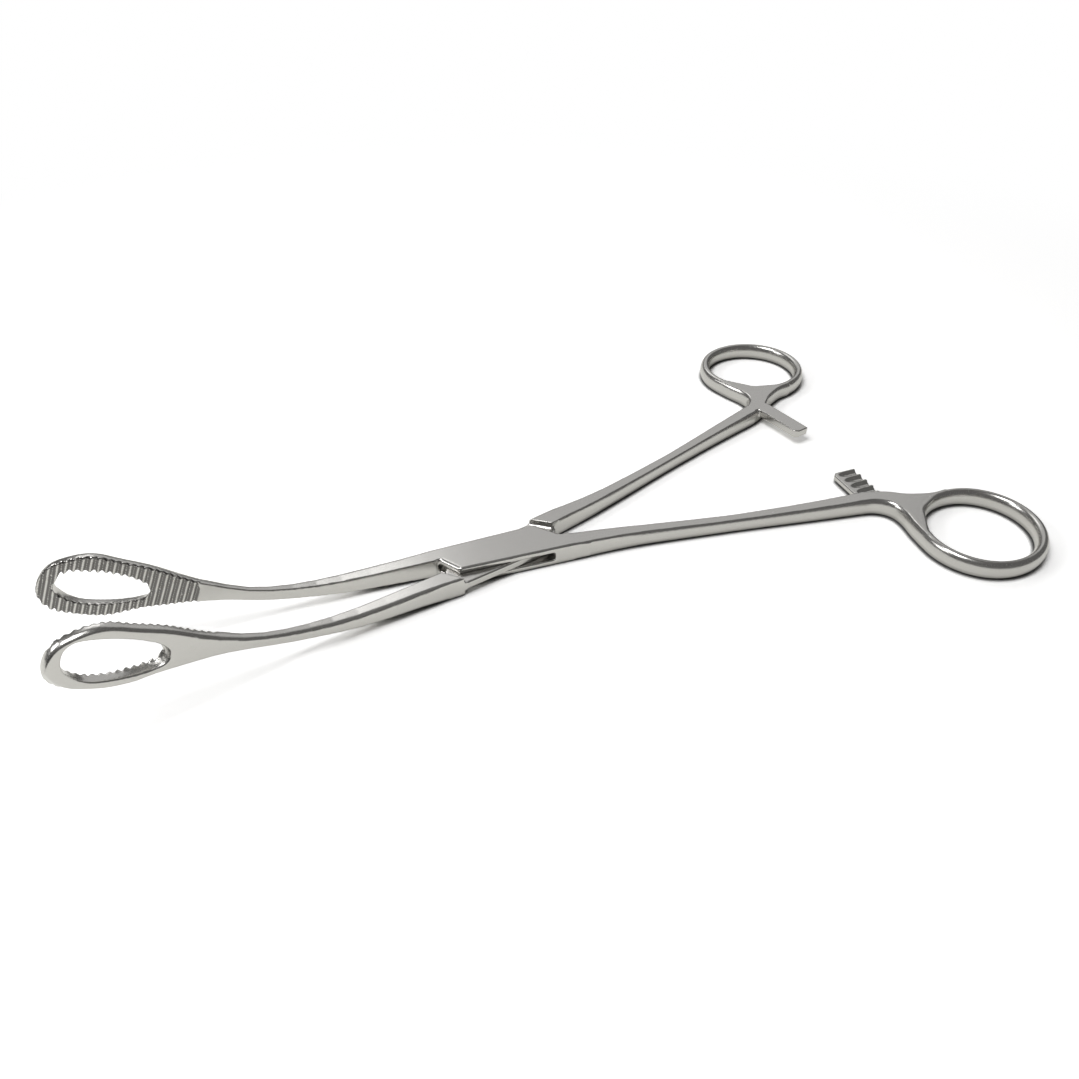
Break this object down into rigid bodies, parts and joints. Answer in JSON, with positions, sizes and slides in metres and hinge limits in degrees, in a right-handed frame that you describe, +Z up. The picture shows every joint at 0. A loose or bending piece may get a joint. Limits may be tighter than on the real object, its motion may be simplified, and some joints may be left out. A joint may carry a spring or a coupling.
{
  "type": "sponge forceps",
  "caption": "Long ring-handled grasping forceps with a box lock, ratchet bars, and upturned oval open jaws with serrated faces.",
  "frame": {"origin": "on the pivot axis of the box lock, at the underside of the lock, where the forceps rests on a table", "axes": "+X from the jaws towards the finger rings, along the line midway between the two halves; +Z up, along the pivot axis"},
  "size_m": [0.2337, 0.1294, 0.029],
  "materials": {
    "slotted_half": "satin",
    "tongue_half": "satin",
    "lock_pin": "satin"
  },
  "bodies": {
    "slotted_body": {"slotted_half": "slotted_half", "lock_pin": "lock_pin"},
    "tongue_body": {"tongue_half": "tongue_half"}
  },
  "joints": [
    {"name": "lock_pivot", "type": "hinge", "parent": "slotted_body", "child": "tongue_body", "pos_m": [0, 0, 0], "axis": [0, 0, 1], "range_deg": [-13.2, 28]}
  ]
}
